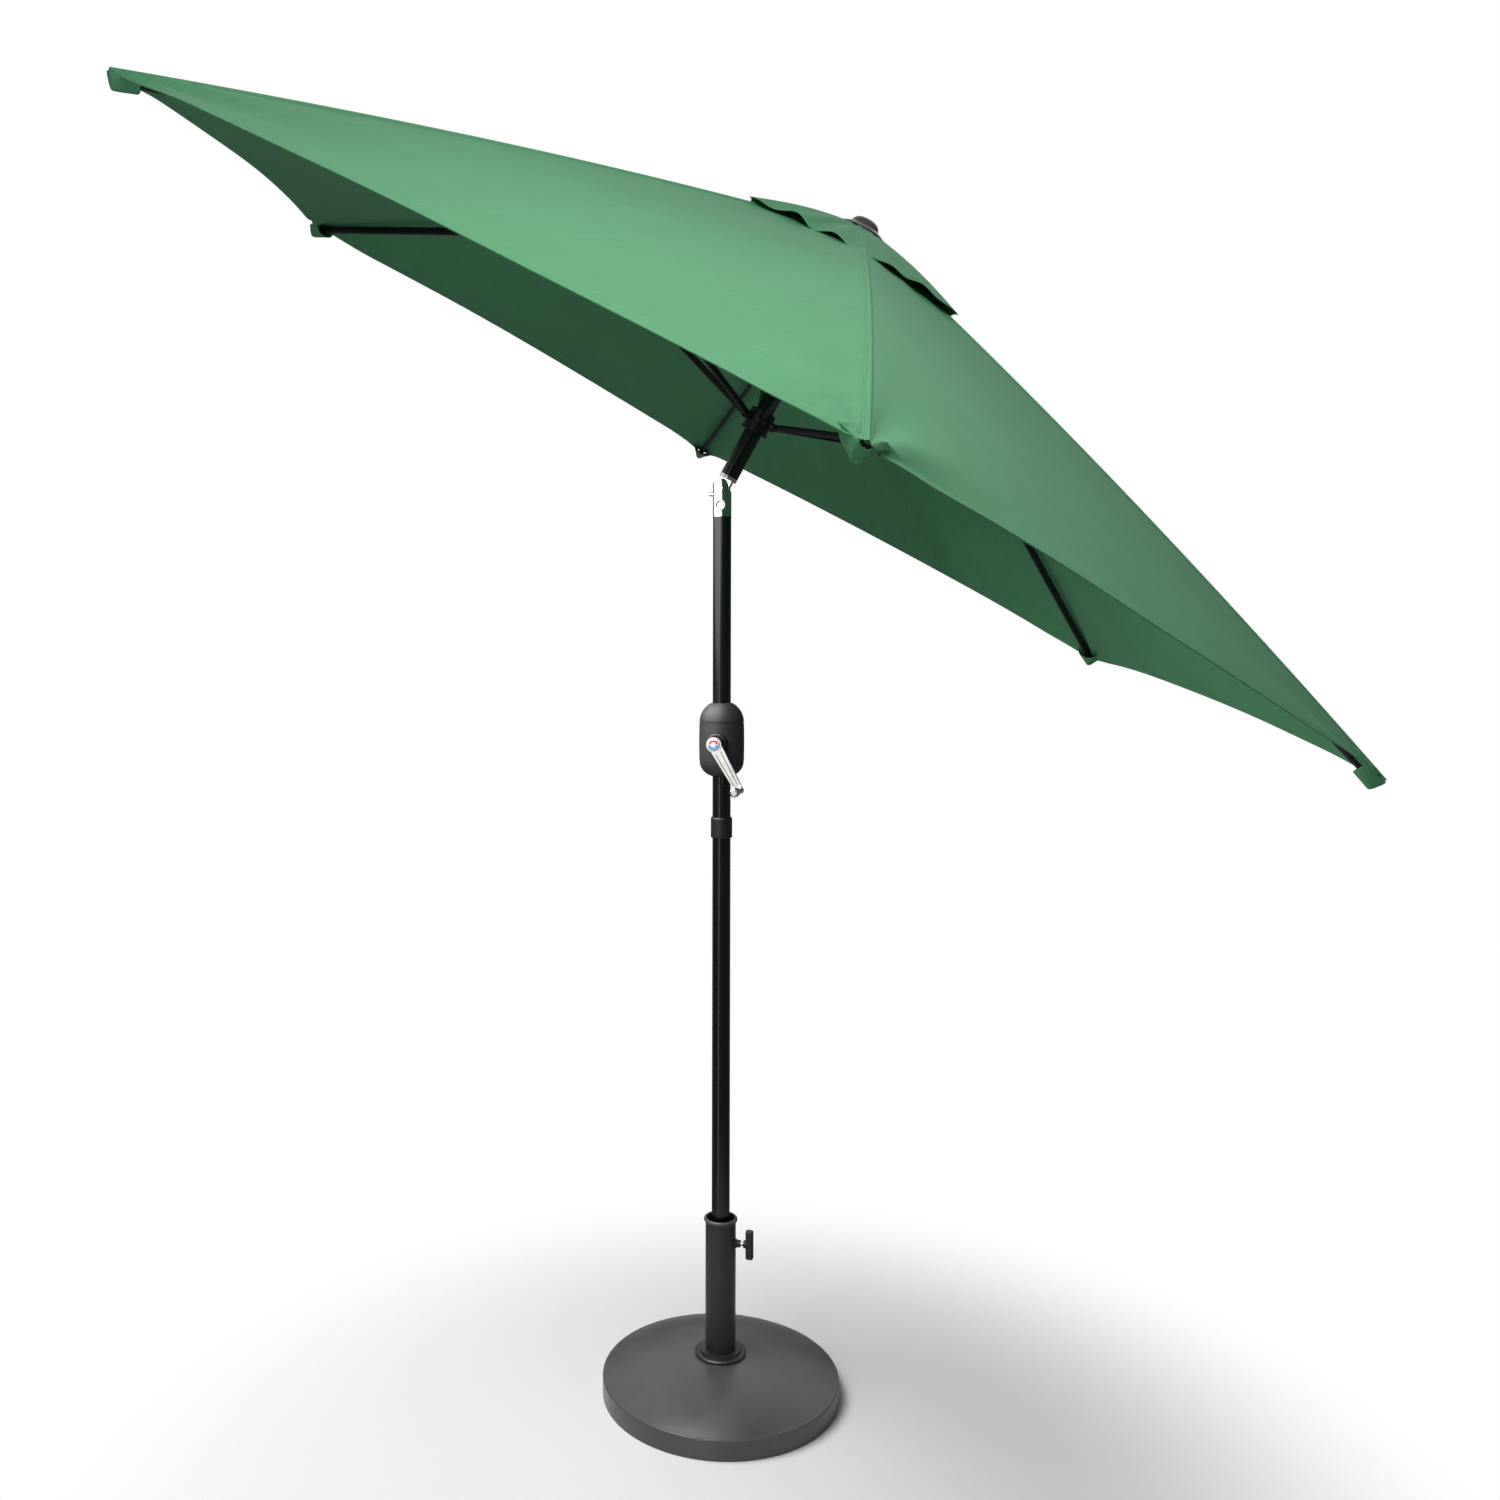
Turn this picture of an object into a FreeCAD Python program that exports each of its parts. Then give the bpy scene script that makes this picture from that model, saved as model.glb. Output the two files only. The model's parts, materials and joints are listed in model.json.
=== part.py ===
# Patio umbrella with base: a push-button tilting, crank-up garden umbrella with six ribs,
# standing in a round weighted base. Millimetres, +Z up. The origin is the centre of the
# base's underside, on the pole's axis. +X is the way the canopy tilts, -Y faces the crank.
import FreeCAD, Part

import math
import os

V = FreeCAD.Vector
UP = V(0, 0, 1)

# ---- driving dimensions ----
POLE_R = 19.0                # 38 mm steel pole
POLE_WALL = 1.6
RUN = 0.35                   # radial play of the pieces that turn or slide on the pole

BASE_R = 250.0               # round weighted base
BASE_RIM_H = 42.0
BASE_TOP_H = 82.0            # height of the domed top at the stem
STEM_R = 32.0
STEM_WALL = 2.5
STEM_TOP = 367.0
CLAMP_Z = 321.0
CLAMP_STUD_R = 4.0

JOINT_Z = 1205.0             # where the upper pole stands on the lower pole
SPIGOT = 150.0
CRANK_Z = 1380.0             # crank shaft's height
HOUSING_R = 46.5
HOUSING_LOW = 1310.0
HOUSING_TOP = 1463.0
CRANK_REACH = 106.0          # shaft to handle
CRANK_ANGLE = 29.5           # crank arm, from straight down towards +X

PIVOT_Z = 1908.0             # tilt pin
TILT = 29.5                  # degrees that the canopy leans towards +X

# the canopy frame, in its own frame: +Z along the mast, origin at the tilt pin
RIBS = 6
RIB_TURN = -11.0             # degrees from the tilt direction to the first rib
RIB_SLOPE = 20.1             # degrees that an open rib falls outward
RIB_LENGTH = 1365.0
RIB_W = 11.0
RIB_H = 17.0
TUBE_WALL = 0.8
HUB_PIN_R = 32.0             # circle of the six rib pins in the crown hub
HUB_PIN_Z = 556.0
SADDLE_AT = 600.0            # along the rib
SADDLE_DROP = 17.0           # pin below the rib's centre line
RUNNER_PIN_R = 34.0
RUNNER_PIN_Z = 158.0
FABRIC = 1.2
FABRIC_OVER_RIB = 11.8       # fabric's underside above a rib's centre line
HEM_X = 1378.0               # hem's corner, along the rib
SCALLOP = 45.0               # how far the hem curves in between two ribs
CROWN_HOLE = 64.0            # radius where the main canopy ends at the crown
VENT_R = 268.0               # corner of the top vent tier
VENT_APEX = 590.0
VENT_HEM_Z = 508.0

os.makedirs("parts", exist_ok=True)


# ---- helpers ----
def cyl(radius, low, high, x=0.0, y=0.0):
    return Part.makeCylinder(radius, high - low, V(x, y, low), UP)


def ring(outer, inner, low, high):
    return cyl(outer, low, high).cut(cyl(inner, low - 1, high + 1))


def rod_y(radius, low, high, x=0.0, z=0.0):
    return Part.makeCylinder(radius, high - low, V(x, low, z), V(0, 1, 0))


def rod_x(radius, low, high, y=0.0, z=0.0):
    return Part.makeCylinder(radius, high - low, V(low, y, z), V(1, 0, 0))


def block(x0, x1, y0, y1, z0, z1):
    return Part.makeBox(x1 - x0, y1 - y0, z1 - z0, V(x0, y0, z0))


def turned(points):
    """A solid of revolution about Z from (radius, height) points; a point with three
    numbers is the middle of an arc from the point before it to the point after it."""
    edges = []
    at = [V(p[0], 0, p[1]) for p in points]
    n = 0
    while n < len(points):
        after = (n + 1) % len(points)
        if len(points[after]) == 3:
            end = (n + 2) % len(points)
            edges.append(Part.Arc(at[n], at[after], at[end]).toShape())
            n += 2
        else:
            edges.append(Part.LineSegment(at[n], at[after]).toShape())
            n += 1
    return Part.Face(Part.Wire(edges)).revolve(V(0, 0, 0), UP, 360)


def joined(shapes):
    first, *rest = shapes
    return first.fuse(rest).removeSplitter() if rest else first


def oval_bar(x0, x1, width, height, radius):
    """A bar along X with a rounded rectangular section."""
    bar = block(x0, x1, -width / 2, width / 2, -height / 2, height / 2)
    long_edges = [e for e in bar.Edges if abs(e.tangentAt(e.FirstParameter).x) > 0.99]
    return bar.makeFillet(radius, long_edges)


def oval_tube(x0, x1, width, height, radius):
    core = oval_bar(x0 - 1, x1 + 1, width - 2 * TUBE_WALL, height - 2 * TUBE_WALL, radius - TUBE_WALL)
    return oval_bar(x0, x1, width, height, radius).cut(core)


def turn(shape, degrees, axis=UP, about=V(0, 0, 0)):
    moved = shape.copy()
    moved.rotate(about, axis, degrees)
    return moved


def move(shape, x=0.0, y=0.0, z=0.0):
    moved = shape.copy()
    moved.translate(V(x, y, z))
    return moved


def tilted(shape):
    """From the canopy frame to the whole umbrella's frame."""
    return move(turn(shape, TILT, V(0, 1, 0)), z=PIVOT_Z)


def save(name, shape):
    if not shape.isValid():
        raise ValueError(name + " is not a valid solid")
    shape.exportStep("parts/" + name + ".step")
    print(name, len(shape.Solids), "solid(s),", round(shape.Volume / 1000, 1), "cm3")


# ---- weighted base ----
# A concrete disc with a gently domed top, inside a moulded plastic cover that is open below.
def dome(radius, low, shrink):
    """The base's outer form, made smaller all round by shrink, down to height low."""
    rim, top = BASE_RIM_H - shrink, BASE_TOP_H - shrink
    return turned([
        (0, low), (BASE_R - shrink, low), (BASE_R - shrink, rim - 5),
        (BASE_R - shrink - 1.2, rim - 1.6, 0), (BASE_R - shrink - 5, rim),
        (BASE_R * 0.62, (rim + top) / 2 + 9, 0), (radius, top), (0, top),
    ])


cover = dome(56, 0, 0).cut(dome(56, -5, 3)).cut(cyl(44, 0, 120))
save("base_cover", cover)
save("base_ballast", dome(56, 0, 3))

flange = turned([
    (0, BASE_TOP_H - 3), (43.5, BASE_TOP_H - 3), (43.5, BASE_TOP_H), (54, BASE_TOP_H),
    (54, BASE_TOP_H + 4.5), (51, BASE_TOP_H + 7), (44, BASE_TOP_H + 7),
    (43, BASE_TOP_H + 11), (0, BASE_TOP_H + 11),
])
save("stem_flange", flange)

stem_low = BASE_TOP_H + 11
stem = ring(STEM_R, STEM_R - STEM_WALL, stem_low, STEM_TOP)
clamp_hole = rod_x(CLAMP_STUD_R + 0.25, 15, 60, z=CLAMP_Z)
save("stem_tube", stem.cut(clamp_hole))
save("stem_rim", turned([
    (STEM_R - STEM_WALL, STEM_TOP), (STEM_R + 2, STEM_TOP), (STEM_R + 3.5, STEM_TOP + 3, 0),
    (STEM_R + 1.5, STEM_TOP + 6.5), (STEM_R - 1, STEM_TOP + 7.5, 0), (STEM_R - STEM_WALL, STEM_TOP + 6),
]))
inside = STEM_R - STEM_WALL
save("stem_bush", ring(inside, POLE_R + RUN, CLAMP_Z - 26, CLAMP_Z + 22).cut(clamp_hole))
save("stem_foot", cyl(inside, stem_low, stem_low + 40).cut(cyl(POLE_R + RUN, stem_low + 6, stem_low + 41)))
boss = turned([(0, 0), (10.5, 0), (9, 4), (7.5, 6), (7.5, 12), (0, 12)])
boss = move(turn(boss, 90, V(0, 1, 0)), x=STEM_R - 1.4, z=CLAMP_Z)
save("clamp_boss", boss.cut(clamp_hole).cut(cyl(STEM_R, 300, 400)))

# Clamp screw: a threaded stud, and the T-bar knob that turns it.
stud_tip = POLE_R + 0.3
save("clamp_stud", joined([
    rod_x(CLAMP_STUD_R, stud_tip + 1.5, 61, z=CLAMP_Z),
    rod_x(CLAMP_STUD_R - 1.2, stud_tip, stud_tip + 1.5, z=CLAMP_Z),
]))
bar = block(54, 70, -7, 7, CLAMP_Z - 31, CLAMP_Z + 31)
knob = joined([bar.makeFillet(4.5, bar.Edges), rod_x(8, 49.5, 58, z=CLAMP_Z)])
save("clamp_knob", knob.cut(rod_x(CLAMP_STUD_R + 0.08, 49, 61.5, z=CLAMP_Z)))

# ---- poles ----
pole_in = POLE_R - POLE_WALL
lower_low = stem_low + 6.3
save("lower_pole", ring(POLE_R, pole_in, lower_low, JOINT_Z))
collar = turned([
    (POLE_R, JOINT_Z - 24), (21, JOINT_Z - 24), (22.4, JOINT_Z - 22, 0), (22.4, JOINT_Z - 20),
    (22.4, JOINT_Z + 16), (21, JOINT_Z + 19), (POLE_R + 1, JOINT_Z + 19),
    (POLE_R + RUN, JOINT_Z + 18), (POLE_R + RUN, JOINT_Z), (POLE_R, JOINT_Z),
])
save("pole_collar", collar)

sleeve_low = PIVOT_Z - 58
upper = joined([
    ring(POLE_R, pole_in, JOINT_Z + 0.3, sleeve_low),
    ring(pole_in - RUN, pole_in - RUN - POLE_WALL, JOINT_Z - SPIGOT, JOINT_Z + 8),
    ring(pole_in + 0.1, pole_in - RUN - POLE_WALL, JOINT_Z + 1, JOINT_Z + 8),
])
spool_window = rod_y(15.6, -25, 25, z=CRANK_Z)
save("upper_pole", upper.cut(spool_window))

# ---- crank housing ----
# Two moulded halves that part in the plane of the crank shaft, held by three screws.
def capsule(shrink):
    r, low, top = HOUSING_R - shrink, HOUSING_LOW + shrink, HOUSING_TOP - shrink
    return turned([
        (0, low), (19, low), (r * 0.82, low + 11, 0), (r, low + 32 - shrink),
        (r + 0.6, CRANK_Z, 0), (r, top - 42 + shrink), (r * 0.84, top - 15, 0), (23, top), (0, top),
    ])


body = capsule(0).cut(capsule(3.2))
for height in (HOUSING_TOP - 40, HOUSING_LOW + 30):
    groove = turned([(HOUSING_R - 1.1, height - 1), (HOUSING_R + 3, height - 1.6),
                     (HOUSING_R + 3, height + 1.6), (HOUSING_R - 1.1, height + 1)])
    body = body.cut(groove)
seats = joined([ring(24.5, POLE_R, HOUSING_LOW + 2.9, HOUSING_LOW + 14),
                ring(24.5, POLE_R, HOUSING_TOP - 14, HOUSING_TOP - 2.9)])
body = joined([body, seats]).cut(cyl(POLE_R, HOUSING_LOW - 5, HOUSING_TOP + 5))
bezel_hole = rod_y(22.2, -60, -30, z=CRANK_Z)
screw_heights = (HOUSING_LOW + 16, CRANK_Z + 6, HOUSING_TOP - 22)
screws = []
for height in screw_heights:
    out = 28.0 if height != screw_heights[1] else 33.0
    screws.append(joined([rod_x(2.0, -12, 14, y=out, z=height), rod_x(3.6, 10, 14, y=out, z=height)]))
    body = joined([body, rod_x(6, -60, 60, y=out, z=height)])
body = body.cut(bezel_hole).common(capsule(0))
for screw, height in zip(screws, screw_heights):
    out = 28.0 if height != screw_heights[1] else 33.0
    body = body.cut(screw).cut(rod_x(3.8, 13.9, 60, y=out, z=height))
half = 120.0
save("housing_left", body.common(block(-half, -0.05, -half, half, 1200, 1600)))
save("housing_right", body.common(block(0.05, half, -half, half, 1200, 1600)))
save("housing_screws", Part.makeCompound(screws))

bezel = turned([
    (5.6, 22), (22, 22), (22, 47), (20.5, 52, 0), (16.8, 53), (16.8, 49), (5.6, 49),
])
save("crank_bezel", move(turn(bezel, 90, V(1, 0, 0)), z=CRANK_Z))

# ---- crank ----
spool = joined([
    rod_y(12.5, -11, 11, z=CRANK_Z), rod_y(15, -12.5, -11, z=CRANK_Z),
    rod_y(15, 11, 12.5, z=CRANK_Z), rod_y(5.5, -49.5, 15.5, z=CRANK_Z),
])
save("crank_shaft", spool)

arm_face = 80.0              # the arm's front, from the pole's axis
arm = joined([
    Part.makeCylinder(15.5, 30.5, V(0, -49.5, 0), V(0, -1, 0)),
    Part.Face(Part.makePolygon([V(-13.5, -68, 0), V(13.5, -68, 0), V(8, -68, -CRANK_REACH + 4),
                                V(-8, -68, -CRANK_REACH + 4), V(-13.5, -68, 0)])).extrude(V(0, -9, 0)),
    Part.makeCylinder(8.4, 12, V(0, -68, -CRANK_REACH), V(0, -1, 0)),
])
for side in (-1, 1):
    slot = block(-1.6, 1.6, -arm_face, -73.5, -CRANK_REACH + 13, -19)
    arm = arm.cut(move(turn(slot, side * 1.7, V(0, 1, 0)), x=side * 6.6))
for step in range(16):
    flute = block(-3.2, 3.2, -78, -76.2, -24 - 4.6 * step, -22 - 4.6 * step)
    arm = arm.cut(turn(flute, 18, V(0, 1, 0), V(0, 0, -23 - 4.6 * step)))
arm = arm.cut(Part.makeCylinder(13.4, 2.5, V(0, -77.9, 0), V(0, -1, 0)))
cap = turned([(0, 77.9), (13.3, 77.9), (13.3, 80.4), (11.8, 82, 0), (8, 82.6), (0, 82.8)])
pin = joined([Part.makeCylinder(2.9, 52, V(0, -79, -CRANK_REACH), V(0, -1, 0)),
              Part.makeCylinder(4.6, 2, V(0, -129, -CRANK_REACH), V(0, -1, 0))])
handle = turned([
    (3.0, 80.6), (5.6, 80.6), (5.0, 92, 0), (5.2, 104), (6.2, 110), (9, 114, 0), (9.4, 121),
    (8.6, 127, 0), (6, 128.6), (3.0, 128.6),
])


def on_crank(shape):
    return move(turn(shape, -CRANK_ANGLE, V(0, 1, 0)), z=CRANK_Z)


save("crank_arm", on_crank(joined([arm, pin])))
save("crank_cap", on_crank(turn(cap, 90, V(1, 0, 0))))
save("crank_knob", on_crank(move(turn(handle, 90, V(1, 0, 0)), z=-CRANK_REACH)))

# ---- tilt knuckle ----
# The chrome sleeve ends in two cheeks with a slot between them; the yoke's tongue swings there.
profile = Part.Face(Part.makePolygon([
    V(-20, -30, -58), V(20, -30, -58), V(20, -30, 0), V(9, -30, 19), V(-7, -30, 20.5),
    V(-16, -30, 14), V(-20, -30, 7), V(-20, -30, -58)])).extrude(V(0, 60, 0))
sleeve = cyl(POLE_R + 0.2, -58, 22).common(profile)
sleeve = joined([sleeve, cyl(pole_in, -104, -58)])
sleeve = sleeve.cut(cyl(16.6, -24, 30)).cut(cyl(6, -110, 0)).cut(block(0, 30, -11.4, 11.4, -6, 30))
button_hole = rod_x(4.2, -30, 0, z=-10)
screw_hole = rod_y(4.0, -30, 30, z=-35)
pin_hole = rod_y(3.0, -30, 30)
sleeve = sleeve.cut(button_hole).cut(screw_hole).cut(pin_hole)
ring_seat = rod_y(11.6, -24, -17.2, z=-35)
save("knuckle_sleeve", move(sleeve.cut(ring_seat), z=PIVOT_Z))
bezel_ring = turned([(8.2, 17.2), (11.5, 17.2), (11.5, 20.6), (10.6, 22, 0), (9, 22.2), (8.2, 21.2)])
save("knuckle_ring", move(turn(bezel_ring, 90, V(1, 0, 0)), z=PIVOT_Z - 35))
head = turned([(0, 17.2), (8, 17.2), (8, 20.4), (5.8, 21.8), (0, 21.8)])
head = turn(head, 90, V(1, 0, 0))
for cross in (block(-1, 1, -25, -19.6, -4.2, 4.2), block(-4.2, 4.2, -25, -19.6, -1, 1)):
    head = head.cut(cross)
nut = turned([(0, 19.3), (6.5, 19.3), (6.5, 22.5), (3.8, 25.6), (0, 25.6)])
screw = joined([move(head, z=-35), rod_y(3.9, -18, 21, z=-35),
                move(turn(nut, -90, V(1, 0, 0)), z=-35)])
save("knuckle_screw", move(screw, z=PIVOT_Z))
tilt_pin = joined([rod_y(2.95, -19.4, 19.4)] + [
    rod_y(4.4, a, b) for a, b in ((-20.6, -19.4), (19.4, 20.6))])
save("tilt_pin", move(tilt_pin, z=PIVOT_Z))
button = joined([rod_x(3.9, -27.5, -15.5, z=-10), rod_x(4.8, -15.5, -14.6, z=-10)])
save("tilt_button", move(button.common(block(-30, 0, -3.9, 3.9, -30, 0)), z=PIVOT_Z))

# ---- canopy frame: everything from here on tilts ----
yoke = joined([
    rod_y(12, -11, 11), block(-12, 12, -11, 11, 0, 24), cyl(POLE_R, 22.3, 30),
    cyl(pole_in, 30, 66),
])
yoke = yoke.cut(cyl(5, 14, 70)).cut(rod_y(3.03, -12, 12)).cut(block(-5, 5, -3, 3, -4, 16))
save("knuckle_yoke", tilted(yoke))
mast_top = HUB_PIN_Z + 6
save("mast_tube", tilted(ring(POLE_R, pole_in, 30, mast_top)))

# Crown hub: a moulded disc with six slots; each rib hinges in its slot on a short pin.
hub = cyl(42, HUB_PIN_Z - 12, HUB_PIN_Z + 12)
hub = joined([hub, cyl(29.8, HUB_PIN_Z + 10, HUB_PIN_Z + 20)])
hub = hub.cut(cyl(POLE_R, HUB_PIN_Z - 20, mast_top)).cut(cyl(5.2, mast_top - 1, HUB_PIN_Z + 30))
rib_angles = [RIB_TURN + k * 360.0 / RIBS for k in range(RIBS)]
hub_pins = []
for angle in rib_angles:
    hub = hub.cut(turn(block(24.4, 60, -4.6, 4.6, HUB_PIN_Z - 20, HUB_PIN_Z + 13), angle))
    hub_pin = turn(rod_y(2.0, -12, 12, x=HUB_PIN_R, z=HUB_PIN_Z), angle)
    hub = hub.cut(hub_pin)
    hub_pins.append(hub_pin)
save("crown_hub", tilted(hub))
save("crown_pins", tilted(Part.makeCompound(hub_pins)))

patch_top = HUB_PIN_Z + 20.3
save("crown_patch", tilted(turned([
    (8, patch_top), (30, patch_top), (61.5, patch_top - 17.5), (61.5, patch_top - 16.3),
    (30.4, patch_top + FABRIC), (8, patch_top + FABRIC),
])))

vent_slope = (VENT_APEX - VENT_HEM_Z) / VENT_R
save("finial", tilted(turned([
    (0, HUB_PIN_Z + 8), (5, HUB_PIN_Z + 8), (5, VENT_APEX - 3), (14, VENT_APEX - 3),
    (50, VENT_APEX - vent_slope * 50 + 0.8), (50.6, VENT_APEX - vent_slope * 50 + 2.6, 0),
    (50, VENT_APEX - vent_slope * 50 + 4.4), (31, VENT_APEX - 1), (29.5, VENT_APEX + 2),
    (24.5, VENT_APEX + 9.5, 0), (13, VENT_APEX + 13), (0, VENT_APEX + 14),
])))


# Fabric: each panel between two ribs is flat, and its hem curves in between the ribs. A gore
# is the cloth either side of one rib, as far as the middle of the panels.
def half_panel(angle, side, apex, slope, inner, corner, scallop, gap):
    """Half of a panel, from the rib at angle to the middle of the panel on one side.
    apex is the height where the rib lines meet the axis, and gap is what this piece
    keeps back from the middle, where the next piece begins."""
    half_step = math.radians(180.0 / RIBS)

    def at(radius, turned_by):
        return V(radius * math.cos(turned_by), side * radius * math.sin(turned_by),
                 apex - slope * radius)

    tip, far_tip = at(corner, 0), at(corner, 2 * half_step)
    chord = (tip + far_tip) * 0.5
    crown = V(0, 0, apex)
    middle = chord + (crown - chord).normalize() * scallop
    hem = Part.Arc(tip, middle, far_tip)
    near, mid_near = at(inner, 0), (at(inner, 0) + at(inner, 2 * half_step)) * 0.5
    back = V(math.sin(half_step), -side * math.cos(half_step), 0) * gap
    quarter = hem.value((hem.FirstParameter + hem.parameter(middle)) / 2)
    outline = [
        Part.LineSegment(near, tip).toShape(),
        Part.Arc(tip, quarter, middle + back).toShape(),
        Part.LineSegment(middle + back, mid_near + back).toShape(),
        Part.LineSegment(mid_near + back, near).toShape(),
    ]
    face = Part.Face(Part.Wire(outline))
    return turn(face.extrude(V(0, 0, -FABRIC / math.cos(math.atan(slope)))), angle)


slope = math.tan(math.radians(RIB_SLOPE))
cos_slope, sin_slope = math.cos(math.radians(RIB_SLOPE)), math.sin(math.radians(RIB_SLOPE))
apex = HUB_PIN_Z + (FABRIC_OVER_RIB + FABRIC) / cos_slope + HUB_PIN_R * slope
hem_corner = HUB_PIN_R + HEM_X * cos_slope
for k, angle in enumerate(rib_angles):
    halves = [half_panel(angle, side, apex, slope, CROWN_HOLE, hem_corner, SCALLOP, 0.5)
              for side in (-1, 1)]
    save("canopy_gore_%d" % (k + 1), tilted(Part.makeCompound(halves)))
vent_panels = []
for angle in rib_angles:
    next_rib = angle + 360.0 / RIBS
    vent_panels.append(joined([half_panel(angle, 1, VENT_APEX, vent_slope, 15, VENT_R, 12, 0),
                               half_panel(next_rib, -1, VENT_APEX, vent_slope, 15, VENT_R, 12, 0)]))
save("vent_flap", tilted(Part.makeCompound(vent_panels)))

# Runner: slides on the mast, with six forked lugs that hold the stretchers.
runner = ring(27, POLE_R + RUN, RUNNER_PIN_Z - 26, RUNNER_PIN_Z + 20)
runner = joined([runner, ring(29.5, 24, RUNNER_PIN_Z - 26, RUNNER_PIN_Z - 21)])
lug = joined([rod_y(8, -7.6, 7.6, x=RUNNER_PIN_R, z=RUNNER_PIN_Z),
              block(22, RUNNER_PIN_R, -7.6, 7.6, RUNNER_PIN_Z - 8, RUNNER_PIN_Z + 8)])
lug = lug.cut(block(27.2, 50, -4.6, 4.6, RUNNER_PIN_Z - 20, RUNNER_PIN_Z + 20)).cut(cyl(23, 0, 400))
runner_pins = []
lugs = []
for angle in rib_angles:
    lugs.append(turn(lug, angle))
    runner_pins.append(turn(rod_y(2.0, -8.8, 8.8, x=RUNNER_PIN_R, z=RUNNER_PIN_Z), angle))
runner = joined([runner] + lugs)
for runner_pin in runner_pins:
    runner = runner.cut(runner_pin)
save("runner_body", tilted(runner))
save("runner_pins", tilted(Part.makeCompound(runner_pins)))

# Ribs: an oval steel tube with a flat tongue at the hub, a tip cap, and a saddle for the stretcher.
tongue = joined([rod_y(7, -3.9, 3.9), block(0, 75, -3.9, 3.9, -7, 7)]).cut(rod_y(2.06, -6, 6))
rib = joined([tongue, oval_tube(14, RIB_LENGTH, RIB_W, RIB_H, 4.5).cut(block(0, 16, -3.9, 3.9, -7, 7))])
saddle = block(SADDLE_AT - 14, SADDLE_AT + 14, -7.4, 7.4, -SADDLE_DROP - 6.5, RIB_H / 2 + 1.3)
saddle = saddle.cut(block(0, RIB_LENGTH, -6.0, 6.0, -60, RIB_H / 2 + 0.1))
saddle = joined([saddle, rod_y(2.2, -8.6, 8.6, x=SADDLE_AT, z=-SADDLE_DROP)])
cap_end = block(RIB_LENGTH - 22, RIB_LENGTH + 8, -7.2, 7.2, -10.2, 9.6)
cap_end = cap_end.makeFillet(2.5, cap_end.Edges)
cap_end = cap_end.cut(oval_bar(0, RIB_LENGTH, RIB_W, RIB_H, 4.5))
rivet_at = RIB_LENGTH * 0.79
rivets = [rod_y(3.4, a, b, x=rivet_at) for a, b in ((-6.9, -RIB_W / 2), (RIB_W / 2, 6.9))]
fittings = Part.makeCompound([saddle, cap_end] + rivets)

rib_pin_r = HUB_PIN_R + SADDLE_AT * cos_slope - SADDLE_DROP * sin_slope
rib_pin_z = HUB_PIN_Z - SADDLE_AT * sin_slope - SADDLE_DROP * cos_slope
stretch = math.hypot(rib_pin_r - RUNNER_PIN_R, rib_pin_z - RUNNER_PIN_Z)
rise = math.degrees(math.atan2(rib_pin_z - RUNNER_PIN_Z, rib_pin_r - RUNNER_PIN_R))
stretcher = oval_tube(16, stretch - 18, 8.8, 13, 3.2)
for end, inward, hole in ((0.0, 1, 2.06), (stretch, -1, 3.8)):
    x0, x1 = sorted((end, end + inward * 42))
    stretcher = joined([stretcher, rod_y(6, -3.4, 3.4, x=end), block(x0, x1, -3.4, 3.4, -5.4, 5.4)])
    stretcher = stretcher.cut(rod_y(hole, -6, 6, x=end))

for k, angle in enumerate(rib_angles):
    def on_rib(shape):
        lowered = move(turn(shape, RIB_SLOPE, V(0, 1, 0)), x=HUB_PIN_R, z=HUB_PIN_Z)
        return tilted(turn(lowered, angle))

    save("rib_%d" % (k + 1), on_rib(rib))
    save("rib_fittings_%d" % (k + 1), on_rib(fittings))
    raised = move(turn(stretcher, -rise, V(0, 1, 0)), x=RUNNER_PIN_R, z=RUNNER_PIN_Z)
    save("stretcher_%d" % (k + 1), tilted(turn(raised, angle)))

print("stretcher length", round(stretch, 2), "rise", round(rise, 3), "hem corner", round(hem_corner, 1))
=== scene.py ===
# A push-button tilting garden umbrella: six steel ribs under a vented green polyester canopy,
# a two-part black pole with a crank, and a round weighted base. Metres, +Z up.
import json
import math

import bpy
import numpy as np
from mathutils import Matrix, Vector


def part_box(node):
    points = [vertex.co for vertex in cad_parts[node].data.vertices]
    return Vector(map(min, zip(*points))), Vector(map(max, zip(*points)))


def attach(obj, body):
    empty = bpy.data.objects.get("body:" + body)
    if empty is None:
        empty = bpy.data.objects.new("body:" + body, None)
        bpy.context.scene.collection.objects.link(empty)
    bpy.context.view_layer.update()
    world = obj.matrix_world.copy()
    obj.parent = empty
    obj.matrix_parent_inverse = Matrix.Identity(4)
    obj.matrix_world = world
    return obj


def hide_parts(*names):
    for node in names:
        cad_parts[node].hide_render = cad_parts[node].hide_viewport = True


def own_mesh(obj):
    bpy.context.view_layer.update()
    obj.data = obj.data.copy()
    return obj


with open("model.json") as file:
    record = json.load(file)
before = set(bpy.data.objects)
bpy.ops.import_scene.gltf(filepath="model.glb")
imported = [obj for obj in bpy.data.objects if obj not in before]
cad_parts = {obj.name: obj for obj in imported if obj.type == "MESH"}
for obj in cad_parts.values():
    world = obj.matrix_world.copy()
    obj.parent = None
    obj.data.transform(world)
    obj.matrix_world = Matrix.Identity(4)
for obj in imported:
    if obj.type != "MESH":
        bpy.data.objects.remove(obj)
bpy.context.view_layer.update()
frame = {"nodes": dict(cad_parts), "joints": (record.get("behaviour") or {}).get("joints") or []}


# ---- Weighted base ----
# A cast concrete disc under a moulded cover of charcoal plastic with a satin, faintly
# pebbled skin. The cover drops over the concrete and hides it down to the ground.
def colour(red, green, blue):
    """A colour chart's red, green and blue, 0 to 255, as the linear numbers a shader takes."""
    return tuple((c / 255 / 12.92) if c <= 10 else ((c / 255 + 0.055) / 1.055) ** 2.4
                 for c in (red, green, blue))


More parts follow.
